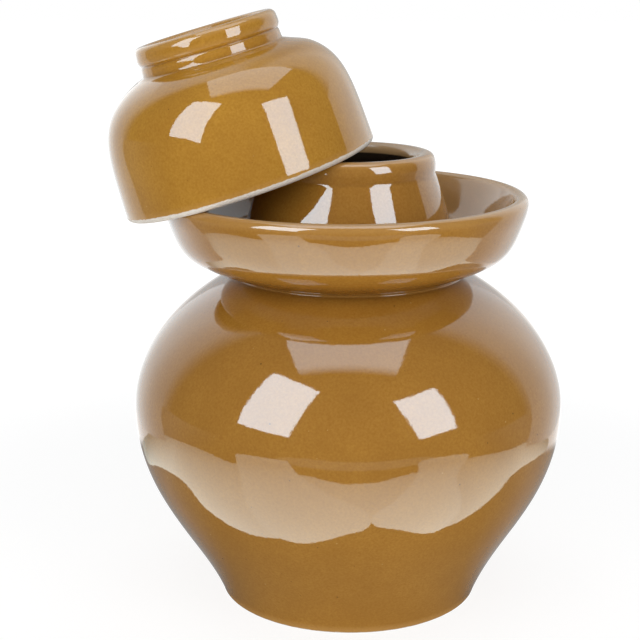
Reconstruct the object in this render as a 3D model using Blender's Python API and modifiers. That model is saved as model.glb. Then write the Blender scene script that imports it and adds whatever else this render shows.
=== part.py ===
"""Water-sealed stoneware pickle jar with its bowl-shaped lid.

Metres, +Z up. The jar stands on the XY plane and is turned about Z: body, neck and water
trough are one fired piece. Its lid is off its seat in the trough and leans towards -X, with
the edge of its rim on the jar's lip and on the trough's rim.
"""

import math

import bpy
from mathutils import Vector
from mathutils.geometry import interpolate_bezier

# Body, from the bare base up to the crease where the trough is luted on
BASE_RADIUS = 0.0737
BASE_EDGE = 0.002
BASE_THICKNESS = 0.009
BASE_FLARE = math.radians(22)
BELLY_RADIUS = 0.120
BELLY_HEIGHT = 0.111
SHOULDER_RADIUS = 0.0631
SHOULDER_HEIGHT = 0.1851
SHOULDER_SLOPE = math.radians(26)
BODY_WALL = 0.0075
FLOOR_FILLET = 0.010

# How far each end of a body curve runs along its own direction
BASE_PULL = 0.042
BELLY_PULL_DOWN = 0.048
BELLY_PULL_UP = 0.0285
SHOULDER_PULL = 0.0375

# Water trough round the neck, measured from the crease
TROUGH_HEIGHT = 0.0438
TROUGH_WALL = 0.008
TROUGH_FLOOR = 0.0105
TROUGH_ROOM = 0.0211
TROUGH_SLOPE = math.radians(22)
TROUGH_LEAN = math.radians(19)
TROUGH_PULL_LOW = 0.034
TROUGH_PULL_HIGH = 0.0300
TROUGH_FILLET = 0.005

# Neck and lip
NECK_SETBACK = 0.0078
NECK_WALL = 0.008
NECK_RISE = 0.0221
NECK_LEAN = math.radians(18)
NECK_PULL = 0.014
LIP_INSET = 0.0078
LIP_WALL = 0.0115
LIP_BEAD = 0.0104
LIP_GROOVE = 0.0005

# Lid, an upturned bowl whose foot ring is the knob
LID_PLAY = 0.0095
LID_WALL = 0.006
LID_TAPER = math.radians(2.7)
LID_HEADROOM = 0.0106
LID_CROWN = 0.007
LID_CROWN_RISE = 0.0033
LID_SLOPE = math.radians(20)
LID_PULL_LOW = 0.0365
LID_PULL_HIGH = 0.0340
RING_RADIUS = 0.0396
RING_HEIGHT = 0.0163
RING_WALL = 0.0078
RING_BEAD = 0.0107
RING_BEAD_UNDER = math.radians(30)
RING_GROOVE = 0.0012

# Where the lid was put down
LID_SLIP = 0.0535
CONTACT_GAP = 0.0003

# Fineness: facets round the axis, and stretches along a wall, a rolled edge and a corner
TURN_STEPS = 56
WALL_STEPS = 8
ROLL_STEPS = 6
CORNER_STEPS = 3

# Search for the lean: samples round half the lid's edge, halvings, and the steepest tilt
LEAN_SAMPLES = 720
LEAN_HALVINGS = 40
STEEPEST_LEAN = math.radians(60)

NECK_RADIUS = SHOULDER_RADIUS - NECK_SETBACK
LIP_RADIUS = NECK_RADIUS - LIP_INSET
LID_RADIUS = NECK_RADIUS + LID_PLAY + LID_WALL
TROUGH_RADIUS = LID_RADIUS + TROUGH_ROOM + TROUGH_WALL
TROUGH_FLOOR_HEIGHT = SHOULDER_HEIGHT + TROUGH_FLOOR
TROUGH_TOP = SHOULDER_HEIGHT + TROUGH_HEIGHT
JAR_TOP = TROUGH_TOP + NECK_RISE

# The three rolled edges: radius of the roll, then radius and height of the circle in its middle
LIP_ROLL = LIP_WALL / 2
TROUGH_ROLL = TROUGH_WALL / 2
LID_ROLL = LID_WALL / 2
LIP_CIRCLE = Vector((LIP_RADIUS - LIP_ROLL, JAR_TOP - LIP_ROLL))
TROUGH_CIRCLE = Vector((TROUGH_RADIUS - TROUGH_ROLL, TROUGH_TOP - TROUGH_ROLL))
LID_CIRCLE = Vector((LID_RADIUS - LID_ROLL, LID_ROLL))


def heading(angle):
    """Unit vector in the plane of an outline, angle from the radius towards the height."""
    return Vector((math.cos(angle), math.sin(angle)))


def bend(start, start_pull, end_pull, end, steps):
    """Points of a cubic curve whose ends leave along their pulls."""
    points = interpolate_bezier(start, start + start_pull, end + end_pull, end, steps + 1)
    return [point.xy for point in points]


def arc(centre, radius, first, last, steps):
    """Points of a circular arc between two angles, both ends included."""
    turn = (last - first) / steps
    return [centre + radius * heading(first + turn * step) for step in range(steps + 1)]


def offset(points, distance):
    """The outline moved to the left of the way it runs."""
    moved = []
    for index, point in enumerate(points):
        before = points[max(index - 1, 0)]
        after = points[min(index + 1, len(points) - 1)]
        along = (after - before).normalized()
        moved.append(point + distance * Vector((-along.y, along.x)))
    return moved


def between(points, lowest, highest):
    """The points whose height lies strictly between two levels."""
    return [point for point in points if lowest < point.y < highest]


def body_wall():
    """Outside of the body, from the rounded base edge up to the crease."""
    foot = Vector((BASE_RADIUS, BASE_EDGE))
    belly = Vector((BELLY_RADIUS, BELLY_HEIGHT))
    crease = Vector((SHOULDER_RADIUS, SHOULDER_HEIGHT))
    base_pull = BASE_PULL * heading(math.pi / 2 - BASE_FLARE)
    shoulder_pull = SHOULDER_PULL * heading(-SHOULDER_SLOPE)
    below = bend(foot, base_pull, Vector((0, -BELLY_PULL_DOWN)), belly, WALL_STEPS)
    above = bend(belly, Vector((0, BELLY_PULL_UP)), shoulder_pull, crease, WALL_STEPS)
    return below + above[1:]


def trough_wall():
    """Outside of the trough, from the crease up to where its rim starts to roll over."""
    crease = Vector((SHOULDER_RADIUS, SHOULDER_HEIGHT))
    rim = TROUGH_CIRCLE + TROUGH_ROLL * heading(-TROUGH_LEAN)
    low_pull = TROUGH_PULL_LOW * heading(TROUGH_SLOPE)
    high_pull = TROUGH_PULL_HIGH * heading(-math.pi / 2 - TROUGH_LEAN)
    return bend(crease, low_pull, high_pull, rim, WALL_STEPS)


def neck_wall():
    """Outside of the neck, from its foot in the trough up to the groove under the lip."""
    foot = Vector((NECK_RADIUS, TROUGH_FLOOR_HEIGHT + TROUGH_FILLET))
    groove = Vector((LIP_RADIUS - LIP_GROOVE, JAR_TOP - LIP_BEAD))
    top_pull = NECK_PULL * heading(NECK_LEAN - math.pi / 2)
    return bend(foot, Vector((0, NECK_PULL)), top_pull, groove, ROLL_STEPS)


def floor_corner(wall, floor, fillet):
    """Rounded corner from a flat floor to the foot of a wall."""
    flat_end = Vector((wall[0].x - fillet, floor))
    wall_pull = -fillet / 2 * (wall[1] - wall[0]).normalized()
    return bend(flat_end, Vector((fillet / 2, 0)), wall_pull, wall[0], CORNER_STEPS)


def jar_inside(body, neck):
    """From the middle of the floor up to the inner side of the lip."""
    side = between(offset(body, BODY_WALL), BASE_THICKNESS + FLOOR_FILLET, SHOULDER_HEIGHT)
    corner = floor_corner(side, BASE_THICKNESS, FLOOR_FILLET)
    throat = between(offset(neck, NECK_WALL), 0, LIP_CIRCLE.y - LIP_WALL)
    shoulder_pull = BODY_WALL * heading(math.pi - SHOULDER_SLOPE)
    shoulder = bend(side[-1], shoulder_pull, Vector((0, -NECK_PULL)), throat[0], ROLL_STEPS)
    under_lip = Vector((LIP_RADIUS - LIP_WALL, LIP_CIRCLE.y))
    throat_pull = LIP_ROLL * (throat[-1] - throat[-2]).normalized()
    lip = bend(throat[-1], throat_pull, Vector((0, -LIP_ROLL)), under_lip, CORNER_STEPS)
    middle = Vector((0, BASE_THICKNESS))
    return [middle] + corner[:-1] + side[:-1] + shoulder[:-1] + throat[:-1] + lip


def trough_inside(neck, trough):
    """From the groove under the lip down the neck, over the trough's floor and up its wall."""
    wall = between(offset(trough, TROUGH_WALL), TROUGH_FLOOR_HEIGHT + TROUGH_FILLET / 2, TROUGH_TOP)
    fillet_middle = Vector((NECK_RADIUS + TROUGH_FILLET, TROUGH_FLOOR_HEIGHT + TROUGH_FILLET))
    foot = arc(fillet_middle, TROUGH_FILLET, math.pi, 1.5 * math.pi, CORNER_STEPS)
    corner = floor_corner(wall, TROUGH_FLOOR_HEIGHT, TROUGH_FILLET)
    return neck[::-1][:-1] + foot + corner + wall[1:-1]


def jar_outline():
    """Half section of the jar, from the middle of its floor over both rims to its base."""
    body = body_wall()
    trough = trough_wall()
    neck = neck_wall()
    lip = arc(LIP_CIRCLE, LIP_ROLL, math.pi, 0, ROLL_STEPS)
    bead = bend(lip[-1], Vector((0, -LIP_BEAD / 4)), Vector((0, LIP_BEAD / 8)), neck[-1], CORNER_STEPS)
    rim = arc(TROUGH_CIRCLE, TROUGH_ROLL, math.pi - TROUGH_LEAN, -TROUGH_LEAN, ROLL_STEPS)
    edge_middle = Vector((BASE_RADIUS - BASE_EDGE, BASE_EDGE))
    base_edge = arc(edge_middle, BASE_EDGE, 0, -math.pi / 2, CORNER_STEPS)
    inside = jar_inside(body, neck)
    channel = trough_inside(neck, trough)
    outside = trough[::-1][1:] + body[::-1][1:]
    base_middle = Vector((0, 0))
    return inside[:-1] + lip + bead[1:] + channel[1:] + rim + outside + base_edge[1:] + [base_middle]


def foot_ring(crease, sunk):
    """From the middle of the lid's sunk top over the foot ring, to just above its crease."""
    roll = RING_WALL / 2
    top = crease.y + RING_HEIGHT
    inner_radius = RING_RADIUS - RING_WALL
    sunk_edge = Vector((inner_radius - roll, sunk))
    sunk_end = Vector((inner_radius, sunk + roll))
    corner = bend(sunk_edge, Vector((roll / 2, 0)), Vector((0, -roll / 2)), sunk_end, CORNER_STEPS)
    over = arc(Vector((RING_RADIUS - roll, top - roll)), roll, math.pi, 0, ROLL_STEPS)
    groove = Vector((RING_RADIUS - RING_GROOVE, top - RING_BEAD))
    under_pull = roll / 2 * heading(RING_BEAD_UNDER)
    bead = bend(over[-1], Vector((0, -roll)), under_pull, groove, CORNER_STEPS)
    return [Vector((0, sunk))] + corner + over + bead[1:]


def lid_outline():
    """Half section of the lid, from its sunk top over the foot ring and the rim to its ceiling.

    The ceiling clears the jar's lip when the rim stands on the trough's floor.
    """
    ceiling = JAR_TOP - TROUGH_FLOOR_HEIGHT + LID_HEADROOM
    crease = Vector((RING_RADIUS, ceiling + LID_CROWN - LID_CROWN_RISE))
    rim = Vector((LID_RADIUS, LID_ROLL))
    low_pull = LID_PULL_LOW * heading(math.pi / 2 + LID_TAPER)
    high_pull = LID_PULL_HIGH * heading(-LID_SLOPE)
    wall = bend(rim, low_pull, high_pull, crease, WALL_STEPS)
    inner = offset(wall, LID_WALL)
    edge = arc(LID_CIRCLE, LID_ROLL, 0, -math.pi, ROLL_STEPS)
    dome_pull = LID_CROWN * heading(math.pi - LID_SLOPE)
    ceiling_middle = Vector((0, ceiling))
    dome = bend(inner[-1], dome_pull, Vector((LID_CROWN, 0)), ceiling_middle, CORNER_STEPS)
    return foot_ring(crease, ceiling + LID_CROWN) + wall[::-1] + edge[1:] + inner[1:] + dome[1:]


def rest_height(circle, roll, tilt):
    """Height of the lid's origin when its edge, tilted, just clears one rolled edge of the jar."""
    reach = roll + LID_ROLL + CONTACT_GAP
    highest = 0
    for sample in range(LEAN_SAMPLES):
        turn = math.pi * sample / LEAN_SAMPLES
        along = LID_CIRCLE.x * math.cos(turn)
        across = LID_CIRCLE.x * math.sin(turn)
        x = along * math.cos(tilt) - LID_CIRCLE.y * math.sin(tilt) - LID_SLIP
        rise = along * math.sin(tilt) + LID_CIRCLE.y * math.cos(tilt)
        beside = math.hypot(x, across) - circle.x
        if abs(beside) < reach:
            lift = math.sqrt(reach * reach - beside * beside)
            highest = max(highest, circle.y + lift - rise)
    return highest


def lid_lean():
    """Height and tilt at which the lid lies on the lip and on the trough's rim at once."""
    flat = 0
    steep = STEEPEST_LEAN
    for _ in range(LEAN_HALVINGS):
        tilt = (flat + steep) / 2
        on_lip = rest_height(LIP_CIRCLE, LIP_ROLL, tilt)
        on_trough = rest_height(TROUGH_CIRCLE, TROUGH_ROLL, tilt)
        if on_lip > on_trough:
            flat = tilt
        else:
            steep = tilt
    return on_lip, tilt


def turned(name, outline, material, collection):
    """A piece turned about its own Z axis from a half section."""
    mesh = bpy.data.meshes.new(name)
    edges = [(index, index + 1) for index in range(len(outline) - 1)]
    mesh.from_pydata([(point.x, 0, point.y) for point in outline], edges, [])
    mesh.materials.append(material)
    piece = bpy.data.objects.new(name, mesh)
    screw = piece.modifiers.new("Turning", "SCREW")
    screw.steps = TURN_STEPS
    screw.render_steps = TURN_STEPS
    screw.use_merge_vertices = True
    screw.merge_threshold = 0.00001
    screw.use_smooth_shade = True
    collection.objects.link(piece)
    return piece


def stoneware_glaze(name, colour):
    """Clear honey-brown iron glaze over stoneware."""
    material = bpy.data.materials.new(name)
    material.use_nodes = True
    shader = material.node_tree.nodes["Principled BSDF"]
    shader.inputs["Base Color"].default_value = colour
    shader.inputs["Roughness"].default_value = 0.08
    shader.inputs["Metallic"].default_value = 0
    return material


def build():
    """Clears the scene, then makes the jar and the lid that leans on it."""
    for old in list(bpy.data.objects):
        bpy.data.objects.remove(old)
    parts = bpy.data.collections.new("pickle_jar")
    bpy.context.scene.collection.children.link(parts)

    jar_glaze = stoneware_glaze("jar_glaze", (0.37, 0.17, 0.03, 1))
    lid_glaze = stoneware_glaze("lid_glaze", (0.37, 0.17, 0.03, 1))
    turned("jar", jar_outline(), jar_glaze, parts)
    lid = turned("lid", lid_outline(), lid_glaze, parts)
    height, tilt = lid_lean()
    lid.location = (-LID_SLIP, 0, height)
    lid.rotation_euler = (0, -tilt, 0)
    print(f"The lid leans {math.degrees(tilt):.2f} degrees, its rim's middle {height * 1000:.2f} mm up")


build()
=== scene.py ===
"""Looks of a water-sealed stoneware pickle jar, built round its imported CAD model.

Metres, +Z up, in the CAD model's frame: the jar stands on the XY plane and is turned about Z, and
its bowl-shaped lid is off its seat, leaning towards -X on the jar's lip and its trough's rim.
"""

import math

import bpy
from mathutils import Matrix, Vector
from mathutils.geometry import interpolate_bezier
from mathutils.kdtree import KDTree


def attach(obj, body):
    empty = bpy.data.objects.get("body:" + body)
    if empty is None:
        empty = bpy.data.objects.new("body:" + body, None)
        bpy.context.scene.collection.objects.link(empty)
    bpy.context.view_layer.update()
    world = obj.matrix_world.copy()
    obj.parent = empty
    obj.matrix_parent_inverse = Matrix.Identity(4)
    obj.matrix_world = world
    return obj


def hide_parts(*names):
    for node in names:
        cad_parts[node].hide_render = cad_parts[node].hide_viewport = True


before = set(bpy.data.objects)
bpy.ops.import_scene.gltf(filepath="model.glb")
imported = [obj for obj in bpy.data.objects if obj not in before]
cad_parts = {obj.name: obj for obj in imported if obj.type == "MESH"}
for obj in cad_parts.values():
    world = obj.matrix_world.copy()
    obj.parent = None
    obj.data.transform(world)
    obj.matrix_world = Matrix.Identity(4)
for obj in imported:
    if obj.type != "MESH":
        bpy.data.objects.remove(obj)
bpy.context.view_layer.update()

# Jar: body, water trough and neck in stoneware clay. They are thrown apart, luted together while
# soft and glazed honey-brown all over, so the crease under the trough is closed by glaze. Only
# the base that it is fired on is wiped bare.
BASE_RADIUS = 0.0731
BASE_EDGE = 0.002
BASE_THICKNESS = 0.009
BASE_FLARE = math.radians(22)
BELLY_RADIUS = 0.120
BELLY_HEIGHT = 0.111
SHOULDER_RADIUS = 0.0631
SHOULDER_HEIGHT = 0.1851
SHOULDER_SLOPE = math.radians(26)
BODY_WALL = 0.0075
FLOOR_FILLET = 0.010
BASE_PULL = 0.042
BELLY_PULL_DOWN = 0.048
BELLY_PULL_UP = 0.0285
SHOULDER_PULL = 0.0375

TROUGH_RADIUS = 0.0999
TROUGH_HEIGHT = 0.0438
TROUGH_WALL = 0.008
TROUGH_FLOOR = 0.0105
TROUGH_SLOPE = math.radians(22)
TROUGH_LEAN = math.radians(19)
TROUGH_PULL_LOW = 0.034
TROUGH_PULL_HIGH = 0.030
TROUGH_WAIST = Vector((0.0965, 0.212))
TROUGH_WAIST_LEAN = math.radians(20)
TROUGH_PULLS = (0.0268, 0.0177, 0.0060, 0.0034)
TROUGH_FILLET = 0.005
CREASE_FILLET = 0.0007

NECK_RADIUS = 0.0575
NECK_WALL = 0.008
NECK_RISE = 0.0226
NECK_LEAN = math.radians(21)
NECK_PULL = 0.014
LIP_RADIUS = 0.0475
LIP_WALL = 0.0115
LIP_BEAD = 0.0113
LIP_GROOVE = 0.0001
LIP_DROP = 0.0071
LIP_FACE = 0.0128
LIP_SHOULDER = math.radians(23)
LIP_SHOULDER_PULL = 0.0015
LIP_INSIDE_PULL = 0.0035
LIP_TOP_PULLS = (0.0034, 0.0026)
LIP_BEAD_PULLS = (0.0014, 0.0012)

TROUGH_FLOOR_HEIGHT = SHOULDER_HEIGHT + TROUGH_FLOOR
TROUGH_TOP = SHOULDER_HEIGHT + TROUGH_HEIGHT
JAR_TOP = TROUGH_TOP + NECK_RISE
LIP_ROLL = LIP_WALL / 2
TROUGH_ROLL = TROUGH_WALL / 2
LIP_CIRCLE = Vector((LIP_RADIUS - LIP_ROLL, JAR_TOP - LIP_ROLL))
TROUGH_CIRCLE = Vector((TROUGH_RADIUS - TROUGH_ROLL, TROUGH_TOP - TROUGH_ROLL))

WALL_STEPS = 26
ROLL_STEPS = 14
CORNER_STEPS = 6
TURN_STEPS = 240
SAME_POINT = 0.000002


def heading(angle):
    """Unit vector in the plane of a section, angle from the radius towards the height."""
    return Vector((math.cos(angle), math.sin(angle)))


def bend(start, start_pull, end_pull, end, steps):
    """Points of a cubic curve whose ends leave along their pulls."""
    points = interpolate_bezier(start, start + start_pull, end + end_pull, end, steps + 1)
    return [point.xy for point in points]


def arc(centre, radius, first, last, steps):
    """Points of a circular arc between two angles, both ends included."""
    turn = (last - first) / steps
    return [centre + radius * heading(first + turn * step) for step in range(steps + 1)]


def offset(points, distance):
    """The outline moved to the left of the way it runs."""
    moved = []
    for index, point in enumerate(points):
        before = points[max(index - 1, 0)]
        after = points[min(index + 1, len(points) - 1)]
        along = (after - before).normalized()
        moved.append(point + distance * Vector((-along.y, along.x)))
    return moved


def between(points, lowest, highest):
    """The points whose height lies strictly between two levels."""
    return [point for point in points if lowest < point.y < highest]


def floor_corner(wall, floor, fillet):
    """Rounded corner from a flat floor to the foot of a wall."""
    flat_end = Vector((wall[0].x - fillet, floor))
    wall_pull = -fillet / 2 * (wall[1] - wall[0]).normalized()
    return bend(flat_end, Vector((fillet / 2, 0)), wall_pull, wall[0], CORNER_STEPS)


def body_wall():
    """Outside of the body, from the rounded base edge up to the crease."""
    foot = Vector((BASE_RADIUS, BASE_EDGE))
    belly = Vector((BELLY_RADIUS, BELLY_HEIGHT))
    crease = Vector((SHOULDER_RADIUS, SHOULDER_HEIGHT))
    base_pull = BASE_PULL * heading(math.pi / 2 - BASE_FLARE)
    shoulder_pull = SHOULDER_PULL * heading(-SHOULDER_SLOPE)
    below = bend(foot, base_pull, Vector((0, -BELLY_PULL_DOWN)), belly, WALL_STEPS)
    above = bend(belly, Vector((0, BELLY_PULL_UP)), shoulder_pull, crease, WALL_STEPS)
    return below + above[1:]


def trough_wall():
    """The trough's wall as it was drawn up, from the crease to its rim; its inside follows it."""
    crease = Vector((SHOULDER_RADIUS, SHOULDER_HEIGHT))
    rim = TROUGH_CIRCLE + TROUGH_ROLL * heading(-TROUGH_LEAN)
    low_pull = TROUGH_PULL_LOW * heading(TROUGH_SLOPE)
    high_pull = TROUGH_PULL_HIGH * heading(-math.pi / 2 - TROUGH_LEAN)
    return bend(crease, low_pull, high_pull, rim, WALL_STEPS)


def trough_outside():
    """Outside of the trough, from the crease over its waist up to its rim's widest ring."""
    crease = Vector((SHOULDER_RADIUS, SHOULDER_HEIGHT))
    rim = TROUGH_CIRCLE + Vector((TROUGH_ROLL, 0))
    up = heading(math.pi / 2 - TROUGH_WAIST_LEAN)
    first, second, third, last = TROUGH_PULLS
    low = bend(crease, first * heading(TROUGH_SLOPE), -second * up, TROUGH_WAIST, WALL_STEPS)
    high = bend(TROUGH_WAIST, third * up, Vector((0, -last)), rim, ROLL_STEPS)
    return low + high[1:]


def neck_wall():
    """Outside of the neck, from its foot in the trough up to the groove under the lip."""
    foot = Vector((NECK_RADIUS, TROUGH_FLOOR_HEIGHT + TROUGH_FILLET))
    groove = Vector((LIP_RADIUS - LIP_GROOVE, JAR_TOP - LIP_BEAD))
    top_pull = NECK_PULL * heading(NECK_LEAN - math.pi / 2)
    return bend(foot, Vector((0, NECK_PULL)), top_pull, groove, WALL_STEPS)


def glazed_crease(above, below):
    """The crease where trough and body meet, closed by a small round of glaze.

    Both walls leave it outwards; what lies closer to it than the round reaches is left out.
    """
    crease = above[0]
    up = (above[1] - crease).normalized()
    down = (below[1] - crease).normalized()
    half = up.angle(down) / 2
    reach = CREASE_FILLET / math.tan(half)
    middle = crease + CREASE_FILLET / math.sin(half) * (up + down).normalized()
    over = [point for point in above if (point - crease).length > reach]
    under = [point for point in below if (point - crease).length > reach]
    top = math.atan2(*(crease + reach * up - middle).yx)
    bottom = math.atan2(*(crease + reach * down - middle).yx)
    return over[::-1] + arc(middle, CREASE_FILLET, top, bottom + 2 * math.pi, CORNER_STEPS) + under


def jar_section():
    """Half section of the jar, from the middle of its floor over both rims to its base."""
    body = body_wall()
    trough = trough_wall()
    neck = neck_wall()

    side = between(offset(body, BODY_WALL), BASE_THICKNESS + FLOOR_FILLET, SHOULDER_HEIGHT)
    corner = floor_corner(side, BASE_THICKNESS, FLOOR_FILLET)
    throat = between(offset(neck, NECK_WALL), 0, LIP_CIRCLE.y - LIP_WALL)
    shoulder_pull = BODY_WALL * heading(math.pi - SHOULDER_SLOPE)
    shoulder = bend(side[-1], shoulder_pull, Vector((0, -NECK_PULL)), throat[0], ROLL_STEPS)
    under_lip = Vector((LIP_RADIUS - LIP_WALL, LIP_CIRCLE.y))
    throat_pull = LIP_ROLL * (throat[-1] - throat[-2]).normalized()
    lip_inside = bend(throat[-1], throat_pull, Vector((0, -LIP_ROLL)), under_lip, CORNER_STEPS)
    inside = corner[:-1] + side[:-1] + shoulder[:-1] + throat[:-1] + lip_inside

    top = Vector((LIP_CIRCLE.x, JAR_TOP))
    widest = Vector((LIP_RADIUS, JAR_TOP - LIP_DROP))
    face_middle = widest - Vector((LIP_FACE, 0))
    shoulder_end = face_middle + LIP_FACE * heading(LIP_SHOULDER)
    over_pull = LIP_SHOULDER_PULL * heading(LIP_SHOULDER + math.pi / 2)
    inwards, outwards = LIP_TOP_PULLS
    lip = bend(under_lip, Vector((0, LIP_INSIDE_PULL)), Vector((-inwards, 0)), top, ROLL_STEPS)
    lip += bend(top, Vector((outwards, 0)), over_pull, shoulder_end, CORNER_STEPS)[1:]
    lip += arc(face_middle, LIP_FACE, LIP_SHOULDER, 0, ROLL_STEPS)[1:]
    down, up = LIP_BEAD_PULLS
    bead = bend(widest, Vector((0, -down)), Vector((0, up)), neck[-1], CORNER_STEPS)

    wall = between(offset(trough, TROUGH_WALL), TROUGH_FLOOR_HEIGHT + TROUGH_FILLET / 2, TROUGH_TOP)
    fillet_middle = Vector((NECK_RADIUS + TROUGH_FILLET, TROUGH_FLOOR_HEIGHT + TROUGH_FILLET))
    neck_foot = arc(fillet_middle, TROUGH_FILLET, math.pi, 1.5 * math.pi, CORNER_STEPS)
    trough_corner = floor_corner(wall, TROUGH_FLOOR_HEIGHT, TROUGH_FILLET)
    channel = neck[::-1][1:-1] + neck_foot + trough_corner + wall[1:-1]
    rim = arc(TROUGH_CIRCLE, TROUGH_ROLL, math.pi - TROUGH_LEAN, 0, ROLL_STEPS)

    outside = glazed_crease(trough_outside()[:-1], body[::-1])
    edge_middle = Vector((BASE_RADIUS - BASE_EDGE, BASE_EDGE))
    base_edge = arc(edge_middle, BASE_EDGE, 0, -math.pi / 2, CORNER_STEPS)
    floor_middle = Vector((0, BASE_THICKNESS))
    base_middle = Vector((0, 0))
    inner = [floor_middle] + inside[:-1] + lip + bead[1:]
    return inner + channel + rim + outside + base_edge[1:] + [base_middle]


def thrown(name, section):
    """A piece turned about Z: one vertex is drawn out along its half section, then spun round."""
    bpy.ops.object.select_all(action="DESELECT")
    bpy.ops.mesh.primitive_plane_add(size=0.001)
    piece = bpy.context.object
    piece.name = name
    piece.data.name = name
    bpy.ops.object.mode_set(mode="EDIT")
    bpy.ops.mesh.select_all(action="SELECT")
    bpy.ops.mesh.merge(type="CENTER")
    bpy.ops.transform.translate(value=(section[0].x, 0, section[0].y))
    for here, after in zip(section, section[1:]):
        step = after - here
        bpy.ops.mesh.extrude_region_move(TRANSFORM_OT_translate={"value": (step.x, 0, step.y)})
    bpy.ops.mesh.select_all(action="SELECT")
    bpy.ops.mesh.spin(steps=TURN_STEPS, angle=2 * math.pi, center=(0, 0, 0), axis=(0, 0, 1))
    bpy.ops.mesh.select_all(action="SELECT")
    bpy.ops.mesh.remove_doubles(threshold=SAME_POINT)
    bpy.ops.mesh.normals_make_consistent(inside=False)
    bpy.ops.object.mode_set(mode="OBJECT")
    bpy.ops.object.shade_smooth()
    return piece


# The glaze feels the turns of a wall this far along it, and a turn of this radius counts as tight
GLAZE_FLOW = 0.0022
GLAZE_TIGHT = 0.0035


def note_glaze(piece, section, inner):
    """Keeps on each vertex how the glaze lies there, for the glaze material.

    glaze_pool is 1 in a tight hollow, 0 on a tight edge and a half where the wall is flat.
    above_edge is the height over the piece's lowest edge, where the glaze is wiped off.
    inner_side comes from the list inner, which has one value for each point of the section: 0 for
    the glaze of the outside, about a half on the lip, where it is thin and pale, less up the trough's
    inner wall, where a painted reflection pales it, and 1 inside the jar, where painted shade makes it
    nearly black.
    """
    turns = [0.0] * len(section)
    for index in range(1, len(section) - 1):
        before = section[index] - section[index - 1]
        after = section[index + 1] - section[index]
        turns[index] = after.angle_signed(before) / (before.length + after.length) * 2
    places = KDTree(len(section))
    for index, point in enumerate(section):
        places.insert((point.x, 0, point.y), index)
    places.balance()
    pool = piece.data.attributes.new("glaze_pool", "FLOAT", "POINT")
    height = piece.data.attributes.new("above_edge", "FLOAT", "POINT")
    side = piece.data.attributes.new("inner_side", "FLOAT", "POINT")
    depth = []
    for point in section:
        near = places.find_range((point.x, 0, point.y), GLAZE_FLOW)
        weights = [GLAZE_FLOW - distance for _, _, distance in near]
        mean = sum(turns[index] * weight for (_, index, _), weight in zip(near, weights)) / sum(weights)
        depth.append(0.5 + 0.5 * math.tanh(mean * GLAZE_TIGHT))
    for vertex in piece.data.vertices:
        radius = vertex.co.xy.length
        _, index, _ = places.find((radius, 0, vertex.co.z))
        pool.data[vertex.index].value = depth[index]
        side.data[vertex.index].value = inner[index]
        height.data[vertex.index].value = vertex.co.z


def mapped(tree, value, low, high, to_low=0.0, to_high=1.0, smooth=False):
    """A value carried from one range into another and held at its ends."""
    node = tree.nodes.new("ShaderNodeMapRange")
    if smooth:
        node.interpolation_type = "SMOOTHSTEP"
    node.inputs["From Min"].default_value = low
    node.inputs["From Max"].default_value = high
    node.inputs["To Min"].default_value = to_low
    node.inputs["To Max"].default_value = to_high
    tree.links.new(value, node.inputs["Value"])
    return node.outputs["Result"]


def maths(tree, operation, *values):
    """What an operation makes of sockets and plain numbers."""
    node = tree.nodes.new("ShaderNodeMath")
    node.operation = operation
    for socket, value in zip(node.inputs, values):
        if isinstance(value, float):
            socket.default_value = value
        else:
            tree.links.new(value, socket)
    return node.outputs[0]


def mixed(tree, factor, first, second):
    """Two colours mixed, each of them plain or from a socket; the second one shows at 1."""
    node = tree.nodes.new("ShaderNodeMix")
    node.data_type = "RGBA"
    tree.links.new(factor, node.inputs["Factor"])
    colours = [socket for socket in node.inputs if socket.type == "RGBA"]
    for socket, colour in zip(colours, (first, second)):
        if isinstance(colour, tuple):
            socket.default_value = (*colour, 1)
        else:
            tree.links.new(colour, socket)
    return next(socket for socket in node.outputs if socket.type == "RGBA")


def kept(tree, attribute):
    """One of the values that note_glaze keeps on the vertices."""
    node = tree.nodes.new("ShaderNodeAttribute")
    node.attribute_name = attribute
    return node.outputs["Fac"]


# The glaze: plain amber with its grain, thicker in broad patches, thin on edges, deep in hollows.
# Each noise has its scale and its detail.
AMBER_DEEP = (0.318, 0.143, 0.020)
AMBER_LIGHT = (0.392, 0.189, 0.031)
AMBER_THICK = (0.270, 0.115, 0.015)
THICK_SHARE = 0.30
GRAIN_NOISE = (820, 3)
GRAIN_RANGE = (0.3, 0.7)
PATCH_NOISE = (38, 4)
PATCH_RANGE = (0.35, 0.65)
ON_EDGES = (0.50, 0.28, 0.09)
EDGE_RANGE = (0.42, 0.10)
EDGE_SHARE = 0.48
IN_HOLLOWS = (0.20, 0.085, 0.015)
HOLLOW_RANGE = (0.58, 0.95)
HOLLOW_SHARE = 0.45
# Thin pale glaze on the lip's inner side; the same colour is laid up the trough's inner wall as a
# painted reflection
THIN_AND_PALE = (0.42, 0.265, 0.125)
# Painted shade: the inside of the jar is painted nearly black where little light reaches
NEARLY_BLACK = (0.030, 0.020, 0.013)
MIRROR_TINT = (0.90, 0.96, 1, 1)
GLAZE_ROUGHNESS = 0.045

# One cell in five holds a speck, and about half of these are dark iron and the rest pale pinholes
SPECK_SCALE = 210
SPECK_CELLS = 0.80
SPECK_SIZES = (0.03, 0.11)
DARK_CELLS = 0.45
DARK_SPECK = (0.06, 0.028, 0.010)
DARK_SHARE = 0.65
PALE_SPECK = (0.52, 0.33, 0.12)
PALE_SHARE = 0.5

# The bare clay, and how unevenly the glaze was wiped off it
CLAY_DEEP = (0.56, 0.50, 0.43)
CLAY_LIGHT = (0.66, 0.60, 0.53)
CLAY_ROUGHNESS = 0.7
WIPE_NOISE = (300, 2)
WIPE_WAVER = 0.0012
WIPE_BLUR = 0.0002

# How the fired surface ripples and is pitted
RIPPLE_NOISE = (120, 2)
RIPPLE_HEIGHT = 0.00003
PIT_NOISE = (440, 3)
PIT_HEIGHT = 0.000016


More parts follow.
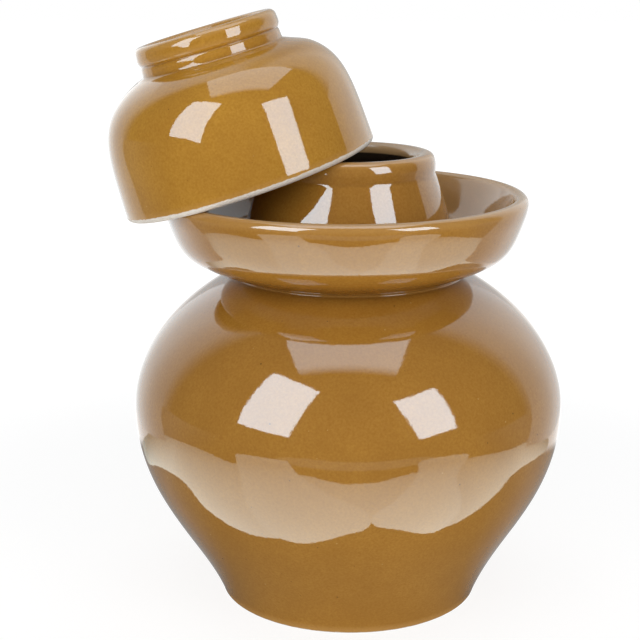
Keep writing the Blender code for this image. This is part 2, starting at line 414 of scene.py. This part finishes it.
def honey_glaze(name, bare_height, tone, ior):
    """Honey-brown iron glaze, glossy over stoneware, wiped off below bare_height.

    The plain amber is multiplied by tone, and ior says how strongly the glaze mirrors.
    """
    material = bpy.data.materials.new(name)
    material.use_nodes = True
    tree = material.node_tree
    shader = tree.nodes["Principled BSDF"]
    shader.inputs["IOR"].default_value = ior
    shader.inputs["Specular Tint"].default_value = MIRROR_TINT
    place = tree.nodes.new("ShaderNodeTexCoord")

    def noise(scale, detail):
        texture = tree.nodes.new("ShaderNodeTexNoise")
        texture.inputs["Scale"].default_value = scale
        texture.inputs["Detail"].default_value = detail
        tree.links.new(place.outputs["Object"], texture.inputs["Vector"])
        return texture.outputs["Fac"]

    def bumped(height, distance, below=None):
        bump = tree.nodes.new("ShaderNodeBump")
        bump.inputs["Distance"].default_value = distance
        tree.links.new(height, bump.inputs["Height"])
        if below:
            tree.links.new(below, bump.inputs["Normal"])
        return bump.outputs["Normal"]

    # Iron crystals make the glaze mottle finely, and it runs thicker and thinner in broad patches
    deep, light = (tuple(a * b for a, b in zip(tone, plain)) for plain in (AMBER_DEEP, AMBER_LIGHT))
    grain = mapped(tree, noise(*GRAIN_NOISE), *GRAIN_RANGE)
    patches = mapped(tree, noise(*PATCH_NOISE), *PATCH_RANGE)
    amber = mixed(tree, grain, deep, light)
    amber = mixed(tree, maths(tree, "MULTIPLY", patches, THICK_SHARE), amber, AMBER_THICK)

    # Thin on edges, where the clay shows through, and deep in hollows
    pool = kept(tree, "glaze_pool")
    amber = mixed(tree, mapped(tree, pool, *EDGE_RANGE, 0.0, EDGE_SHARE), amber, ON_EDGES)
    amber = mixed(tree, mapped(tree, pool, *HOLLOW_RANGE, 0.0, HOLLOW_SHARE), amber, IN_HOLLOWS)

    # Thin and pale inside the lip, paled as a painted reflection up the trough's wall, and painted
    # shade, nearly black, inside the jar
    inner = kept(tree, "inner_side")
    amber = mixed(tree, mapped(tree, inner, 0.0, 0.5), amber, THIN_AND_PALE)
    amber = mixed(tree, mapped(tree, inner, 0.5, 1.0), amber, NEARLY_BLACK)

    # Specks of iron and pinholes
    cells = tree.nodes.new("ShaderNodeTexVoronoi")
    cells.inputs["Scale"].default_value = SPECK_SCALE
    tree.links.new(place.outputs["Object"], cells.inputs["Vector"])
    chance = tree.nodes.new("ShaderNodeSeparateColor")
    tree.links.new(cells.outputs["Color"], chance.inputs["Color"])
    chosen = maths(tree, "GREATER_THAN", chance.outputs["Red"], SPECK_CELLS)
    size = mapped(tree, chance.outputs["Green"], 0.0, 1.0, *SPECK_SIZES)
    speck = maths(tree, "MULTIPLY", maths(tree, "LESS_THAN", cells.outputs["Distance"], size), chosen)
    iron = maths(tree, "GREATER_THAN", chance.outputs["Blue"], DARK_CELLS)
    dark = maths(tree, "MULTIPLY", speck, iron)
    pale = maths(tree, "SUBTRACT", speck, dark)
    amber = mixed(tree, maths(tree, "MULTIPLY", dark, DARK_SHARE), amber, DARK_SPECK)
    amber = mixed(tree, maths(tree, "MULTIPLY", pale, PALE_SHARE), amber, PALE_SPECK)

    # Bare clay where the glaze was wiped off
    clay = mixed(tree, grain, CLAY_DEEP, CLAY_LIGHT)
    waver = maths(tree, "MULTIPLY", maths(tree, "SUBTRACT", noise(*WIPE_NOISE), 0.5), WIPE_WAVER)
    height = maths(tree, "ADD", kept(tree, "above_edge"), waver)
    bare = mapped(tree, height, bare_height + WIPE_BLUR, bare_height - WIPE_BLUR)
    rough = mapped(tree, bare, 0.0, 1.0, GLAZE_ROUGHNESS, CLAY_ROUGHNESS)
    tree.links.new(mixed(tree, bare, amber, clay), shader.inputs["Base Color"])
    tree.links.new(rough, shader.inputs["Roughness"])

    # The fired glaze ripples faintly, finer where it pitted
    ripple = bumped(noise(*RIPPLE_NOISE), RIPPLE_HEIGHT)
    pitting = bumped(noise(*PIT_NOISE), PIT_HEIGHT, ripple)
    tree.links.new(pitting, shader.inputs["Normal"])
    return material


def eased(value, low, high):
    """0 at low, 1 at high, smooth between them."""
    share = min(max((value - low) / (high - low), 0), 1)
    return share * share * (3 - 2 * share)


section = jar_section()
jar = thrown("fired_jar", section)

# Inside the jar the glaze is painted nearly black as shade, it is pale on the lip's inner side,
# and a painted reflection pales it up the inside of the trough's wall
IN_JAR = 1.0
IN_LIP = 0.56
IN_TROUGH = 0.34
TROUGH_PALES = 0.008
LIP_FROM = LIP_CIRCLE.y + 0.0002
RIM_FROM = TROUGH_TOP - 0.001
lip_start = [point.y > LIP_FROM for point in section].index(True)
lip_end = lip_start + ROLL_STEPS
inner = [IN_JAR] * lip_start + [IN_LIP] * ROLL_STEPS + [0.0] * (len(section) - lip_end)
rim = max(range(lip_end, len(section)),
          key=lambda index: section[index].x * (section[index].y > RIM_FROM))
for index in range(lip_end + 1, rim):
    point = section[index]
    if point.x > NECK_RADIUS + TROUGH_FILLET:
        # Painted reflection: the trough's inner wall is made paler up from its floor
        rise = eased(point.y, TROUGH_FLOOR_HEIGHT, TROUGH_FLOOR_HEIGHT + TROUGH_PALES)
        inner[index] = IN_TROUGH * rise
note_glaze(jar, section, inner)

# Thrown ware is never quite true: the trough was luted on a little to the left of the body's
# middle, and the foot stands a little to the right of it
TROUGH_ASIDE = 0.0015
TROUGH_ASIDE_BEYOND = 0.075
FOOT_ASIDE = 0.0009
FOOT_ASIDE_BELOW = 0.045
for vertex in jar.data.vertices:
    reach = vertex.co.xy.length
    if vertex.co.z > SHOULDER_HEIGHT:
        vertex.co.x -= TROUGH_ASIDE * eased(reach, SHOULDER_RADIUS, TROUGH_ASIDE_BEYOND)
    else:
        vertex.co.x += FOOT_ASIDE * eased(vertex.co.z, FOOT_ASIDE_BELOW, 0)

JAR_BARE_HEIGHT = 0.0008
JAR_TONE = (1.0, 1.0, 1.0)
JAR_IOR = 1.62
jar.data.materials.append(honey_glaze("jar_honey_glaze", JAR_BARE_HEIGHT, JAR_TONE, JAR_IOR))
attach(jar, "jar")
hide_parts("jar")

# Lid: a stoneware bowl turned upside down, its foot ring the knob. It is glazed like the jar
# inside and out, and the edge of its rim is wiped bare so that it can be fired standing on it.
LID_RADIUS = 0.0710
LID_WALL = 0.006
LID_TAPER = math.radians(2.7)
LID_CEILING = 0.066
LID_CROWN = 0.007
LID_CROWN_RISE = 0.0033
LID_SLOPE = math.radians(20)
LID_PULL_LOW = 0.0365
LID_PULL_HIGH = 0.0340
LID_CREASE = LID_CEILING + LID_CROWN - LID_CROWN_RISE
RING_RADIUS = 0.0394
RING_HEIGHT = 0.0163
RING_WALL = 0.0078
RING_BEAD = 0.0106
RING_BEAD_UNDER = math.radians(40)
RING_GROOVE = 0.0012
BEAD_PULL = Vector((0.0003, -0.0023))
BEAD_UNDER_PULL = 0.0025
BAND_PULLS = (Vector((0.0010, -0.0008)), Vector((-0.0007, 0.0017)))
LID_BARE_HEIGHT = 0.0029
LID_TONE = (1.15, 1.21, 1.0)
LID_IOR = 1.54

# Where it was put down: slip to the side, height of its rim's middle, and tilt. The foot ring,
# added last, sits a little aside and less tilted than the rim.
LID_SLIP = 0.0536
LID_HEIGHT = 0.23585
LID_TILT = math.radians(18.1)
RING_ASIDE = Vector((0.0015, 0, -0.0005))
RING_TURN = math.radians(1.9)
RING_MOVED_FROM = 0.061


def lid_section():
    """Half section of the lid, from its sunk top over the foot ring and the rim to its ceiling."""
    rim_roll = LID_WALL / 2
    ring_roll = RING_WALL / 2
    crease = Vector((RING_RADIUS, LID_CREASE))
    sunk = LID_CEILING + LID_CROWN
    top = crease.y + RING_HEIGHT
    ring_inside = RING_RADIUS - RING_WALL
    sunk_edge = Vector((ring_inside - ring_roll, sunk))
    sunk_end = Vector((ring_inside, sunk + ring_roll))
    inside_pull = Vector((0, -ring_roll / 2))
    corner = bend(sunk_edge, Vector((ring_roll / 2, 0)), inside_pull, sunk_end, CORNER_STEPS)
    over = arc(Vector((RING_RADIUS - ring_roll, top - ring_roll)), ring_roll, math.pi, 0, ROLL_STEPS)
    groove = Vector((RING_RADIUS - RING_GROOVE, top - RING_BEAD))
    bead = bend(over[-1], BEAD_PULL, BEAD_UNDER_PULL * heading(RING_BEAD_UNDER), groove, ROLL_STEPS)
    band = bend(groove, *BAND_PULLS, crease, ROLL_STEPS)

    rim = Vector((LID_RADIUS, rim_roll))
    low_pull = LID_PULL_LOW * heading(math.pi / 2 + LID_TAPER)
    high_pull = LID_PULL_HIGH * heading(-LID_SLOPE)
    wall = bend(rim, low_pull, high_pull, crease, WALL_STEPS)
    inner = offset(wall, LID_WALL)
    edge = arc(Vector((LID_RADIUS - rim_roll, rim_roll)), rim_roll, 0, -math.pi, ROLL_STEPS)
    dome_pull = LID_CROWN * heading(math.pi - LID_SLOPE)
    dome = bend(inner[-1], dome_pull, Vector((LID_CROWN, 0)), Vector((0, LID_CEILING)), ROLL_STEPS)
    ring = [Vector((0, sunk))] + corner + over[1:] + bead[1:] + band[1:-1]
    return ring + wall[::-1] + edge[1:] + inner[1:] + dome[1:]


section = lid_section()
lid = thrown("fired_lid", section)
note_glaze(lid, section, [0.0] * len(section))
crown = Vector((0, 0, LID_CREASE))
moved = Matrix.Translation(crown + RING_ASIDE) @ Matrix.Rotation(RING_TURN, 4, "Y")
moved = moved @ Matrix.Translation(-crown)
for vertex in lid.data.vertices:
    vertex.co = vertex.co.lerp(moved @ vertex.co, eased(vertex.co.z, RING_MOVED_FROM, LID_CREASE))
lid.data.transform(Matrix.Translation((-LID_SLIP, 0, LID_HEIGHT)) @ Matrix.Rotation(-LID_TILT, 4, "Y"))
lid.data.materials.append(honey_glaze("lid_honey_glaze", LID_BARE_HEIGHT, LID_TONE, LID_IOR))
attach(lid, "lid")
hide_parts("lid")

# Floor: plain pale studio table. The camera sees it white, with the jar's shadow faint on it. The
# glaze mirrors it dim, apart from the white paper that covers the back of it, which is weaker
# straight behind the jar.
FLOOR_SIZE = 12
TABLE_COLOUR = (0.85, 0.85, 0.85, 1)
CAMERA_WHITE = 1.12
SHADOW_KEPT = 0.25
SHADOW_REACH = 0.25
SHADOW_FADE = 0.75
FLOOR_BOUNCE = 0.85
ROOM_RADIANCE = 0.12
BACK_TABLE = 0.38
BACK_TABLE_RANGE = (-0.45, 0.10)
TABLE_PAPER_RADIANCE = 1.1
TABLE_PAPER_RANGE = (0.27, 0.31)
TABLE_PAPER_BLUR = 0.05
PAPER_EDGE = 0.40
PAPER_BACK = 0.90
PAPER_BACK_SHARE = 0.45


def backdrop(tree, behind, blur, low, high):
    """White paper round the back of the set, from low before its blurred edge to high behind it.

    behind is 1 straight behind the jar, where the paper is weaker, and -1 straight in front of it.
    """
    paper = mapped(tree, behind, PAPER_EDGE - blur, PAPER_EDGE + blur, low, high, smooth=True)
    weaker = mapped(tree, behind, PAPER_BACK, 1.0, 1.0, PAPER_BACK_SHARE)
    return maths(tree, "MULTIPLY", paper, weaker)


def length(tree, vector):
    """How long a vector is."""
    node = tree.nodes.new("ShaderNodeVectorMath")
    node.operation = "LENGTH"
    tree.links.new(vector, node.inputs[0])
    return node.outputs["Value"]


def parts(tree, vector):
    """A vector's three parts, by their letters."""
    node = tree.nodes.new("ShaderNodeSeparateXYZ")
    tree.links.new(vector, node.inputs[0])
    return node.outputs


bpy.ops.object.select_all(action="DESELECT")
bpy.ops.mesh.primitive_plane_add(size=FLOOR_SIZE)
floor = bpy.context.object
floor.name = "floor"
table = bpy.data.materials.new("pale_table")
table.use_nodes = True
tree = table.node_tree
tree.nodes.remove(tree.nodes["Principled BSDF"])
ray = tree.nodes.new("ShaderNodeLightPath")
place = tree.nodes.new("ShaderNodeTexCoord").outputs["Object"]
reach = length(tree, place)

# The table for the camera and for its bounce on the jar
matt = tree.nodes.new("ShaderNodeBsdfDiffuse")
matt.inputs["Color"].default_value = TABLE_COLOUR
white = tree.nodes.new("ShaderNodeEmission")
white.inputs["Strength"].default_value = CAMERA_WHITE
plain = mapped(tree, reach, SHADOW_REACH, SHADOW_FADE, 1 - SHADOW_KEPT, 1.0, smooth=True)
seen = maths(tree, "MULTIPLY", plain, ray.outputs["Is Camera Ray"])
shown = tree.nodes.new("ShaderNodeMixShader")
share = maths(tree, "MULTIPLY_ADD", ray.outputs["Is Diffuse Ray"], FLOOR_BOUNCE, seen)
tree.links.new(share, shown.inputs[0])
tree.links.new(matt.outputs[0], shown.inputs[1])
tree.links.new(white.outputs[0], shown.inputs[2])

# The table as the glaze mirrors it
behind = maths(tree, "DIVIDE", parts(tree, place)["Y"], reach)
paper = backdrop(tree, behind, TABLE_PAPER_BLUR, 0.0, TABLE_PAPER_RADIANCE)
beyond = mapped(tree, reach, *TABLE_PAPER_RANGE, smooth=True)
near = mapped(tree, behind, *BACK_TABLE_RANGE, ROOM_RADIANCE, BACK_TABLE)
dim = tree.nodes.new("ShaderNodeEmission")
tree.links.new(maths(tree, "MULTIPLY_ADD", paper, beyond, near), dim.inputs["Strength"])
mirrored = tree.nodes.new("ShaderNodeMixShader")
tree.links.new(ray.outputs["Is Glossy Ray"], mirrored.inputs[0])
tree.links.new(shown.outputs[0], mirrored.inputs[1])
tree.links.new(dim.outputs[0], mirrored.inputs[2])
tree.links.new(mirrored.outputs[0], tree.nodes["Material Output"].inputs["Surface"])
floor.data.materials.append(table)

# Cards: white paper lying round the foot of the jar and standing at both its sides, which only its
# glaze sees. What lies there is brightest close to the jar, brighter still where it mirrors the
# two softboxes, and dimmer behind the jar's middle. A weak strip lies further in front.
STUDIO_WHITE = (0.93, 0.975, 1, 1)
CARD_WHITE = (0.93, 1, 0.93, 1)
CARD_RANGE = (0.14, 0.42)
CARD_BACK = 0.14
CARD_BACK_SHARE = 0.30
CARD_STEPS = 6


def glowing(name, colour):
    """A material that only shines, and the socket of its strength."""
    material = bpy.data.materials.new(name)
    material.use_nodes = True
    tree = material.node_tree
    tree.nodes.remove(tree.nodes["Principled BSDF"])
    shine = tree.nodes.new("ShaderNodeEmission")
    shine.inputs["Color"].default_value = colour
    tree.links.new(shine.outputs[0], tree.nodes["Material Output"].inputs["Surface"])
    return material, shine.inputs["Strength"]


def only_mirrored(sheet):
    """Hides a sheet from everything but the glaze's reflections."""
    sheet.visible_camera = False
    sheet.visible_diffuse = False
    sheet.visible_transmission = False
    sheet.visible_shadow = False


def card(name, outline, height, near, far):
    """A flat light card with a smooth outline, which fades from near to far from the jar."""
    sheet = bpy.data.curves.new(name, "CURVE")
    sheet.dimensions = "2D"
    sheet.fill_mode = "BOTH"
    sheet.resolution_u = CARD_STEPS
    line = sheet.splines.new("BEZIER")
    line.use_cyclic_u = True
    line.bezier_points.add(len(outline) - 1)
    for point, (x, y) in zip(line.bezier_points, outline):
        point.co = (x, y, 0)
        point.handle_left_type = "AUTO"
        point.handle_right_type = "AUTO"
    material, strength = glowing(name, CARD_WHITE)
    tree = material.node_tree
    place = tree.nodes.new("ShaderNodeTexCoord").outputs["Object"]
    fade = mapped(tree, length(tree, place), *CARD_RANGE, near, far)
    back = mapped(tree, parts(tree, place)["Y"], 0.0, CARD_BACK, 1.0, CARD_BACK_SHARE)
    tree.links.new(maths(tree, "MULTIPLY", fade, back), strength)
    sheet.materials.append(material)
    laid = bpy.data.objects.new(name, sheet)
    bpy.context.scene.collection.objects.link(laid)
    laid.location.z = height
    only_mirrored(laid)


card("white_card", (
    (-0.198, 0.168), (-0.232, 0.040), (-0.215, -0.032), (-0.150, -0.064), (-0.087, -0.100),
    (-0.037, -0.135), (0.003, -0.148), (0.029, -0.168), (0.054, -0.142), (0.100, -0.108),
    (0.180, -0.071), (0.255, -0.025), (0.272, 0.060), (0.270, 0.140), (0.320, 0.150),
    (0.395, 0.060), (0.392, -0.090), (0.370, -0.230), (0.210, -0.318), (0.013, -0.306),
    (-0.136, -0.335), (-0.340, -0.205), (-0.430, -0.130), (-0.450, 0.020), (-0.400, 0.110),
    (-0.288, 0.166)),
    height=0.0002, near=3.9, far=1.45)
card("left_glint", (
    (-0.105, -0.128), (-0.222, -0.206), (-0.340, -0.272), (-0.440, -0.360), (-0.270, -0.500),
    (-0.215, -0.440), (-0.136, -0.343), (-0.041, -0.256), (0.029, -0.168), (-0.008, -0.142),
    (-0.060, -0.118)),
    height=0.0004, near=4.2, far=2.0)
card("right_glint", (
    (0.100, -0.108), (0.225, -0.199), (0.468, -0.331), (0.354, -0.469), (0.280, -0.430),
    (0.180, -0.305), (0.074, -0.210), (0.029, -0.168), (0.054, -0.142)),
    height=0.0004, near=4.5, far=2.0)
card("front_strip", (
    (-0.330, -0.480), (-0.200, -0.430), (0.018, -0.413), (0.220, -0.400), (0.400, -0.440),
    (0.420, -0.600), (0.180, -0.655), (-0.030, -0.680), (-0.300, -0.740)),
    height=0.0002, near=0.7, far=0.6)

SIDE_CORNERS = ((-0.018, 0.058), (0.40, 0), (0.040, 0.38), (0.40, 0.58))
SIDE_DEPTH = 0.25
SIDE_FRONT = 0.10
SIDE_FRONT_SHARE = 0.68
SIDE_UPPER = (0.15, 0.28)
SIDE_UPPER_SHARE = 1.25


def side_card(name, across, forward, near, far):
    """An upright card beside the jar, running back from its middle and rising towards the back.

    Its light goes from near to far towards the back, and is weaker at its front, stronger on top.
    """
    bpy.ops.object.select_all(action="DESELECT")
    bpy.ops.mesh.primitive_plane_add(size=1)
    sheet = bpy.context.object
    sheet.name = name
    for vertex, (back, height) in zip(sheet.data.vertices, SIDE_CORNERS):
        vertex.co = (across, back - forward, height)
    material, strength = glowing(name, STUDIO_WHITE)
    tree = material.node_tree
    place = parts(tree, tree.nodes.new("ShaderNodeTexCoord").outputs["Object"])
    depth = mapped(tree, place["Y"], 0.0, SIDE_DEPTH, near, far)
    front = mapped(tree, place["Y"], 0.0, SIDE_FRONT, SIDE_FRONT_SHARE, 1.0)
    upper = mapped(tree, place["Z"], *SIDE_UPPER, 1.0, SIDE_UPPER_SHARE)
    softened = maths(tree, "MULTIPLY", depth, front)
    tree.links.new(maths(tree, "MULTIPLY", softened, upper), strength)
    sheet.data.materials.append(material)
    only_mirrored(sheet)


side_card("left_side_card", across=-0.23, forward=0, near=1.3, far=1.5)
side_card("right_side_card", across=0.224, forward=0.012, near=1.3, far=1.15)

# Light: two softboxes in front, a larger one overhead, a weak fill by the camera, and white paper
# round the back of the set. The room in front is dim, so the glaze shows its colour there. What
# the glaze mirrors of each softbox is a bright face of its own.
LEFT_LIGHT = 1.65
RIGHT_LIGHT = 2.75
SOFTBOX_FACE = 10
SOFTBOX_EDGE = 0.001
TOP_LIGHT = 1.2
TOP_FACE = 3.6
TOP_EDGE = 0.25
FACE_WHITE = (0.84, 0.93, 1, 1)
FILL_LIGHT = 1.5
ROOM_LIGHT = 0.6
BACKDROP_RADIANCE = 1.4
BACKDROP_BLUR = 0.17
PURE_WHITE = (1, 1, 1, 1)
NO_HEIGHT = (1, 1, 0)


def lamp(name, place, width, height, radiance):
    """A square soft light that the glaze doesn't mirror."""
    light = bpy.data.lights.new(name, "AREA")
    light.shape = "RECTANGLE"
    light.size = width
    light.size_y = height
    light.energy = radiance * width * height * math.pi
    holder = bpy.data.objects.new(name, light)
    bpy.context.scene.collection.objects.link(holder)
    holder.matrix_world = place
    holder.visible_camera = False
    holder.visible_glossy = False


def face(name, place, width, height, radiance, soft_edge):
    """The bright face of a softbox as the glaze mirrors it, its lower edge soft over a share of it."""
    bpy.ops.object.select_all(action="DESELECT")
    bpy.ops.mesh.primitive_plane_add(size=1)
    sheet = bpy.context.object
    sheet.name = name
    sheet.data.transform(place @ Matrix.Diagonal((width, height, 1, 1)))
    material, strength = glowing(name, FACE_WHITE)
    tree = material.node_tree
    upwards = parts(tree, tree.nodes.new("ShaderNodeTexCoord").outputs["UV"])["Y"]
    tree.links.new(mapped(tree, upwards, 0.0, soft_edge, 0.0, radiance, smooth=True), strength)
    sheet.data.materials.append(material)
    only_mirrored(sheet)


def facing(middle, across, upright):
    """Place of a square light with its sides along two directions, its face towards the jar."""
    side = Vector(across).normalized()
    top = (Vector(upright) - side * side.dot(Vector(upright))).normalized()
    back = side.cross(top)
    if back.dot(Vector(middle)) < 0:
        side = -side
        back = -back
    return Matrix.Translation(middle) @ Matrix((side, top, back)).transposed().to_4x4()


for name, middle, across, upright, width, height, light, shine, soft_edge in (
        ("left", (-0.542, -0.653, 0.630), (-0.714, 0.691, 0.112), (0.356, 0.221, 0.908),
         0.49, 0.708, LEFT_LIGHT, SOFTBOX_FACE, SOFTBOX_EDGE),
        ("right", (1.098, -1.106, 0.814), (0.775, 0.604, 0.185), (-0.435, 0.298, 0.850),
         0.706, 0.987, RIGHT_LIGHT, SOFTBOX_FACE, SOFTBOX_EDGE),
        ("top", (0, -0.27, 1.20), (1, 0, 0), (0, 1, 0), 0.95, 0.80, TOP_LIGHT, TOP_FACE, TOP_EDGE)):
    place = facing(middle, across, upright)
    lamp(f"softbox_{name}", place, width, height, light)
    face(f"softbox_{name}_face", place, width, height, shine, soft_edge)
fill_place = facing((0, -1.7, 0.90), (1, 0, 0), (0, 0.4, 1))
lamp("fill", fill_place, width=2.4, height=1.4, radiance=FILL_LIGHT)

world = bpy.data.worlds.new("studio")
bpy.context.scene.world = world
world.use_nodes = True
tree = world.node_tree
surround = tree.nodes["Background"]
surround.inputs["Color"].default_value = STUDIO_WHITE
seen = tree.nodes.new("ShaderNodeBackground")
seen.inputs["Color"].default_value = PURE_WHITE
direction = tree.nodes.new("ShaderNodeTexCoord").outputs["Generated"]
level = tree.nodes.new("ShaderNodeVectorMath")
level.operation = "MULTIPLY"
level.inputs[1].default_value = NO_HEIGHT
tree.links.new(direction, level.inputs[0])
behind = maths(tree, "DIVIDE", parts(tree, direction)["Y"], length(tree, level.outputs["Vector"]))
paper = backdrop(tree, behind, BACKDROP_BLUR, ROOM_RADIANCE, BACKDROP_RADIANCE)
ray = tree.nodes.new("ShaderNodeLightPath")
lighting = mapped(tree, ray.outputs["Is Diffuse Ray"], 0.0, 1.0, 1.0, ROOM_LIGHT)
tree.links.new(maths(tree, "MULTIPLY", paper, lighting), surround.inputs["Strength"])
choice = tree.nodes.new("ShaderNodeMixShader")
tree.links.new(ray.outputs["Is Camera Ray"], choice.inputs[0])
tree.links.new(surround.outputs[0], choice.inputs[1])
tree.links.new(seen.outputs[0], choice.inputs[2])
tree.links.new(choice.outputs[0], tree.nodes["World Output"].inputs["Surface"])

# Camera: at the photograph's angle, a little above the jar and looking down at it, and turned a
# little to the left of its middle. The frame is square.
CAMERA_PLACE = (0, -0.826, 0.365)
CAMERA_DOWN = math.radians(14.17)
CAMERA_TURN = math.radians(1.09)
FOCAL_PIXELS = 1517
FRAME_PIXELS = 640
SENSOR = 36

camera = bpy.data.cameras.new("camera")
camera.sensor_width = SENSOR
camera.lens = FOCAL_PIXELS / FRAME_PIXELS * SENSOR
viewer = bpy.data.objects.new("camera", camera)
viewer.location = CAMERA_PLACE
viewer.rotation_euler = (math.pi / 2 - CAMERA_DOWN, 0, CAMERA_TURN)
bpy.context.scene.collection.objects.link(viewer)
bpy.context.scene.camera = viewer
bpy.context.scene.view_settings.view_transform = "Standard"
